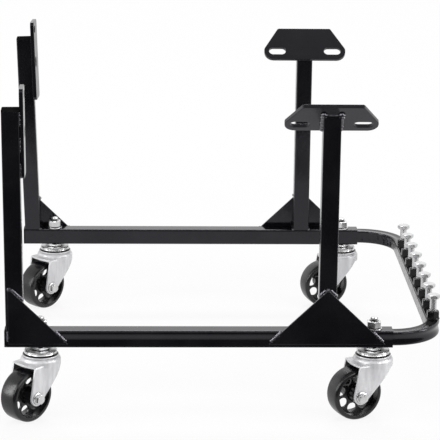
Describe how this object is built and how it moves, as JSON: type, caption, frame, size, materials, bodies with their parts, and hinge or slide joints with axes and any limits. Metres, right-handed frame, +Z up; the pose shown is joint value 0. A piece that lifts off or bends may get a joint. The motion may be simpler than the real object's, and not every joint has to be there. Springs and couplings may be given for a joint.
{
  "type": "engine dolly",
  "caption": "Rolling engine cradle: two square-tube side frames with upright posts, tilted mount plates, bell-housing plates and a bent front bar, on swivel casters.",
  "frame": {"origin": "on the floor, midway between the two rails and halfway along them", "axes": "+X to the front, where the bent bar is; +Y to the left side; +Z up"},
  "size_m": [0.6427, 0.6275, 0.4834],
  "materials": {
    "black_paint": "gloss",
    "black_cap": "satin",
    "black_nut": "satin",
    "bright_bolt": "bright plated",
    "zinc": "bright zinc",
    "steel": "plain",
    "black_wheel": "gloss black"
  },
  "bodies": {
    "frame": {"right_rail": "black_paint", "rear_right_post": "black_paint", "front_right_post": "black_paint", "right_bell_plate": "black_paint", "right_mount_plate": "black_paint", "rear_right_gusset": "black_paint", "front_right_gusset": "black_paint", "right_rail_cap": "black_cap", "rear_right_post_cap": "black_cap", "left_rail": "black_paint", "rear_left_post": "black_paint", "front_left_post": "black_paint", "left_bell_plate": "black_paint", "left_mount_plate": "black_paint", "rear_left_gusset": "black_paint", "front_left_gusset": "black_paint", "left_rail_cap": "black_cap", "rear_left_post_cap": "black_cap", "front_bar": "black_paint", "weld_nuts": "black_nut", "storage_bolts": "bright_bolt", "rear_right_stem": "zinc", "rear_right_washer": "zinc", "rear_right_stem_nut": "zinc", "rear_right_upper_race": "zinc", "rear_left_stem": "zinc", "rear_left_washer": "zinc", "rear_left_stem_nut": "zinc", "rear_left_upper_race": "zinc", "front_right_stem": "zinc", "front_right_washer": "zinc", "front_right_stem_nut": "zinc", "front_right_upper_race": "zinc", "front_left_stem": "zinc", "front_left_washer": "zinc", "front_left_stem_nut": "zinc", "front_left_upper_race": "zinc"},
    "rear_right_caster": {"rear_right_fork": "zinc", "rear_right_axle_bolt": "zinc", "rear_right_axle_nut": "zinc", "rear_right_sleeve": "steel"},
    "rear_right_wheel": {"rear_right_wheel": "black_wheel"},
    "rear_left_caster": {"rear_left_fork": "zinc", "rear_left_axle_bolt": "zinc", "rear_left_axle_nut": "zinc", "rear_left_sleeve": "steel"},
    "rear_left_wheel": {"rear_left_wheel": "black_wheel"},
    "front_right_caster": {"front_right_fork": "zinc", "front_right_axle_bolt": "zinc", "front_right_axle_nut": "zinc", "front_right_sleeve": "steel"},
    "front_right_wheel": {"front_right_wheel": "black_wheel"},
    "front_left_caster": {"front_left_fork": "zinc", "front_left_axle_bolt": "zinc", "front_left_axle_nut": "zinc", "front_left_sleeve": "steel"},
    "front_left_wheel": {"front_left_wheel": "black_wheel"}
  },
  "joints": [
    {"name": "rear_right_swivel", "type": "hinge", "parent": "frame", "child": "rear_right_caster", "pos_m": [-0.229, -0.27, 0.085], "axis": [0, 0, 1], "continuous": true},
    {"name": "rear_right_roll", "type": "hinge", "parent": "rear_right_caster", "child": "rear_right_wheel", "pos_m": [-0.24915, -0.29086, 0.0381], "axis": [0.7193, -0.6947, 0], "continuous": true},
    {"name": "rear_left_swivel", "type": "hinge", "parent": "frame", "child": "rear_left_caster", "pos_m": [-0.229, 0.27, 0.085], "axis": [0, 0, 1], "continuous": true},
    {"name": "rear_left_roll", "type": "hinge", "parent": "rear_left_caster", "child": "rear_left_wheel", "pos_m": [-0.24951, 0.24949, 0.0381], "axis": [0.7071, -0.7071, 0], "continuous": true},
    {"name": "front_right_swivel", "type": "hinge", "parent": "frame", "child": "front_right_caster", "pos_m": [0.251, -0.27, 0.085], "axis": [0, 0, 1], "continuous": true},
    {"name": "front_right_roll", "type": "hinge", "parent": "front_right_caster", "child": "front_right_wheel", "pos_m": [0.22411, -0.28086, 0.0381], "axis": [0.3746, -0.9272, 0], "continuous": true},
    {"name": "front_left_swivel", "type": "hinge", "parent": "frame", "child": "front_left_caster", "pos_m": [0.251, 0.27, 0.085], "axis": [0, 0, 1], "continuous": true},
    {"name": "front_left_roll", "type": "hinge", "parent": "front_left_caster", "child": "front_left_wheel", "pos_m": [0.22327, 0.26152, 0.0381], "axis": [0.2924, -0.9563, 0], "continuous": true}
  ]
}
